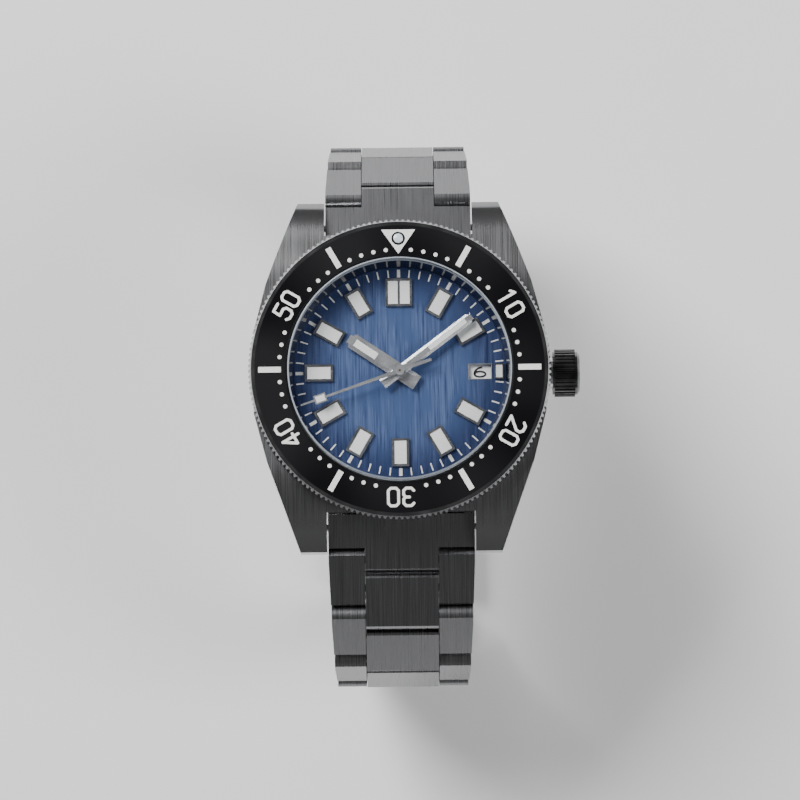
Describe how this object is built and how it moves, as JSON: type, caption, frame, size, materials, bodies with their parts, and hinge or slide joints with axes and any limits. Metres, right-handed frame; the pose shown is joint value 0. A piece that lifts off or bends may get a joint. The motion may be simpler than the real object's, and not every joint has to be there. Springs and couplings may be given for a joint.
{
  "type": "dive watch",
  "caption": "Self-winding dive watch with a knurled rotating bezel, crown, domed crystal, luminous hands, date window and a steel link bracelet closed by a folding clasp.",
  "frame": {"origin": "on the flat underside of the closed clasp, straight below the centre of the dial", "axes": "+Z out of the dial, +Y towards 12 o'clock, +X towards the crown at 3 o'clock"},
  "size_m": [0.0445, 0.0751, 0.0522],
  "materials": {
    "brushed_steel": "satin brushed, dark grey steel",
    "polished_steel": "polished",
    "seal_rubber": "matt",
    "crystal_glass": "polished sapphire with blue anti-glare",
    "dial_blue": "blue with fine vertical grain",
    "lume": "matt white",
    "bezel_white": "satin white",
    "insert_black": "satin black",
    "date_white": "matt white",
    "brass": "satin"
  },
  "bodies": {
    "head": {"mid_case": "brushed_steel", "case_back": "brushed_steel", "gaskets": "seal_rubber", "crown_tube": "brushed_steel", "crystal": "crystal_glass", "rehaut_ring": "brushed_steel", "dial": "dial_blue", "hour_markers": "polished_steel", "marker_lume": "lume", "movement_ring": "brushed_steel", "main_plate": "brushed_steel", "train_bridge": "brushed_steel", "balance_cock": "brushed_steel", "rotor_bearing": "brushed_steel", "end_link_12": "brushed_steel", "end_link_6": "brushed_steel", "spring_bars": "brushed_steel", "click_spring": "brushed_steel"},
    "bezel": {"bezel_ring": "brushed_steel", "bezel_insert": "insert_black", "bezel_markings": "bezel_white", "bezel_pip": "lume"},
    "lever": {"setting_lever": "brushed_steel"},
    "crown": {"crown": "brushed_steel", "winding_stem": "brushed_steel"},
    "hour": {"hour_hand": "polished_steel", "hour_hand_lume": "lume", "hour_wheel": "brass"},
    "minute": {"minute_hand": "polished_steel", "minute_hand_lume": "lume", "cannon_pinion": "brass"},
    "seconds": {"seconds_hand": "polished_steel", "seconds_lume": "lume", "fourth_wheel": "brass"},
    "date": {"date_ring": "date_white"},
    "rotor": {"rotor": "brushed_steel"},
    "barrel": {"mainspring_barrel": "brass"},
    "third": {"third_wheel": "brass"},
    "escape": {"escape_wheel": "brushed_steel"},
    "pallet": {"pallet_fork": "brushed_steel"},
    "balance": {"balance_wheel": "brass", "hairspring": "brushed_steel"},
    "link_12_1": {"link_12_1": "brushed_steel"},
    "link_12_2": {"link_12_2": "brushed_steel"},
    "link_12_3": {"link_12_3": "brushed_steel"},
    "link_12_4": {"link_12_4": "brushed_steel"},
    "link_12_5": {"link_12_5": "brushed_steel"},
    "link_12_6": {"link_12_6": "brushed_steel"},
    "link_6_1": {"link_6_1": "brushed_steel"},
    "link_6_2": {"link_6_2": "brushed_steel"},
    "link_6_3": {"link_6_3": "brushed_steel"},
    "link_6_4": {"link_6_4": "brushed_steel"},
    "link_6_5": {"link_6_5": "brushed_steel"},
    "link_6_6": {"link_6_6": "brushed_steel"},
    "clasp_cover": {"clasp_cover": "brushed_steel"},
    "clasp_blade_1": {"clasp_blade_1": "polished_steel"},
    "clasp_blade_2": {"clasp_blade_2": "polished_steel"},
    "button_left": {"button_left": "polished_steel"},
    "button_right": {"button_right": "polished_steel"},
    "safety_lock": {"safety_lock": "brushed_steel"}
  },
  "joints": [
    {"name": "bezel_turn", "type": "hinge", "parent": "head", "child": "bezel", "pos_m": [0, 0, 0.03932], "axis": [0, 0, 1], "continuous": true},
    {"name": "crown_pull", "type": "slide", "parent": "head", "child": "lever", "axis": [1, 0, 0], "range_m": [0, 0.0016]},
    {"name": "crown_turn", "type": "hinge", "parent": "lever", "child": "crown", "pos_m": [0, 0, 0.04422], "axis": [1, 0, 0], "continuous": true},
    {"name": "minute_turn", "type": "hinge", "parent": "head", "child": "minute", "pos_m": [0, 0, 0.03932], "axis": [0, 0, -1], "continuous": true},
    {"name": "hour_turn", "type": "hinge", "parent": "head", "child": "hour", "pos_m": [0, 0, 0.03932], "axis": [0, 0, -1], "continuous": true},
    {"name": "seconds_turn", "type": "hinge", "parent": "head", "child": "seconds", "pos_m": [0, 0, 0.03932], "axis": [0, 0, -1], "continuous": true},
    {"name": "date_turn", "type": "hinge", "parent": "head", "child": "date", "pos_m": [0, 0, 0.03932], "axis": [0, 0, -1], "continuous": true},
    {"name": "rotor_turn", "type": "hinge", "parent": "head", "child": "rotor", "pos_m": [0, 0, 0.03932], "axis": [0, 0, 1], "continuous": true},
    {"name": "barrel_turn", "type": "hinge", "parent": "head", "child": "barrel", "pos_m": [-0.0052, 0.0056, 0.04302], "axis": [0, 0, -1], "continuous": true},
    {"name": "third_turn", "type": "hinge", "parent": "head", "child": "third", "pos_m": [0.0046, 0.0032, 0.04302], "axis": [0, 0, -1], "continuous": true},
    {"name": "escape_turn", "type": "hinge", "parent": "head", "child": "escape", "pos_m": [0.0052, -0.0034, 0.04302], "axis": [0, 0, -1], "continuous": true},
    {"name": "balance_swing", "type": "hinge", "parent": "head", "child": "balance", "pos_m": [-0.0042, -0.0072, 0.04302], "axis": [0, 0, -1], "range_deg": [-140, 140]},
    {"name": "pallet_rock", "type": "hinge", "parent": "head", "child": "pallet", "pos_m": [0.0024, -0.0064, 0.04302], "axis": [0, 0, -1], "range_deg": [-5, 5]},
    {"name": "link_12_1_bend", "type": "hinge", "parent": "head", "child": "link_12_1", "pos_m": [0, 0.0246, 0.04092], "axis": [-1, 0, 0], "range_deg": [-32, 0]},
    {"name": "link_12_2_bend", "type": "hinge", "parent": "link_12_1", "child": "link_12_2", "pos_m": [0, 0.02985, 0.03488], "axis": [-1, 0, 0], "range_deg": [-22, 0]},
    {"name": "link_12_3_bend", "type": "hinge", "parent": "link_12_2", "child": "link_12_3", "pos_m": [0, 0.03285, 0.02747], "axis": [-1, 0, 0], "range_deg": [-27, 0]},
    {"name": "link_12_4_bend", "type": "hinge", "parent": "link_12_3", "child": "link_12_4", "pos_m": [0, 0.03257, 0.01947], "axis": [-1, 0, 0], "range_deg": [-29, 0]},
    {"name": "link_12_5_bend", "type": "hinge", "parent": "link_12_4", "child": "link_12_5", "pos_m": [0, 0.02881, 0.01241], "axis": [-1, 0, 0], "range_deg": [-23, 0]},
    {"name": "link_12_6_bend", "type": "hinge", "parent": "link_12_5", "child": "link_12_6", "pos_m": [0, 0.02287, 0.00705], "axis": [-1, 0, 0], "range_deg": [-21, 0]},
    {"name": "clasp_bend", "type": "hinge", "parent": "link_12_6", "child": "clasp_cover", "pos_m": [0, 0.01556, 0.0038], "axis": [-1, 0, 0], "range_deg": [-29, 0]},
    {"name": "link_6_1_bend", "type": "hinge", "parent": "head", "child": "link_6_1", "pos_m": [0, -0.0246, 0.04092], "axis": [1, 0, 0], "range_deg": [-5, 0]},
    {"name": "link_6_2_bend", "type": "hinge", "parent": "link_6_1", "child": "link_6_2", "pos_m": [0, -0.03202, 0.03792], "axis": [1, 0, 0], "range_deg": [-31, 0]},
    {"name": "link_6_3_bend", "type": "hinge", "parent": "link_6_2", "child": "link_6_3", "pos_m": [0, -0.03716, 0.0318], "axis": [1, 0, 0], "range_deg": [-31, 0]},
    {"name": "link_6_4_bend", "type": "hinge", "parent": "link_6_3", "child": "link_6_4", "pos_m": [0, -0.03882, 0.02397], "axis": [1, 0, 0], "range_deg": [-26, 0]},
    {"name": "link_6_5_bend", "type": "hinge", "parent": "link_6_4", "child": "link_6_5", "pos_m": [0, -0.0373, 0.01612], "axis": [1, 0, 0], "range_deg": [-22, 0]},
    {"name": "link_6_6_bend", "type": "hinge", "parent": "link_6_5", "child": "link_6_6", "pos_m": [0, -0.0333, 0.00919], "axis": [1, 0, 0], "range_deg": [-22, 0]},
    {"name": "blade_1_fold", "type": "hinge", "parent": "clasp_cover", "child": "clasp_blade_1", "pos_m": [0, -0.02341, 0.0025], "axis": [-1, 0, 0], "range_deg": [-85, 0]},
    {"name": "blade_2_fold", "type": "hinge", "parent": "clasp_blade_1", "child": "clasp_blade_2", "pos_m": [0, 0.00929, 0.00325], "axis": [1, 0, 0], "range_deg": [-68, 0]},
    {"name": "button_left_press", "type": "slide", "parent": "clasp_cover", "child": "button_left", "axis": [1, 0, 0], "range_m": [0, 0.0005], "stiffness_N_per_m": 300},
    {"name": "button_right_press", "type": "slide", "parent": "clasp_cover", "child": "button_right", "axis": [-1, 0, 0], "range_m": [0, 0.0005], "stiffness_N_per_m": 300},
    {"name": "safety_lock_flip", "type": "hinge", "parent": "clasp_cover", "child": "safety_lock", "pos_m": [0, -0.01631, 0.0006], "axis": [-1, 0, 0], "range_deg": [-95, 0]}
  ],
  "couplings": [
    {"joint": "hour_turn", "follows": "minute_turn", "ratio": 0.083333},
    {"joint": "third_turn", "follows": "seconds_turn", "ratio": -0.13333},
    {"joint": "barrel_turn", "follows": "seconds_turn", "ratio": -0.0022222},
    {"joint": "escape_turn", "follows": "seconds_turn", "ratio": -10},
    {"joint": "pallet_rock", "follows": "balance_swing", "ratio": 0.035}
  ]
}
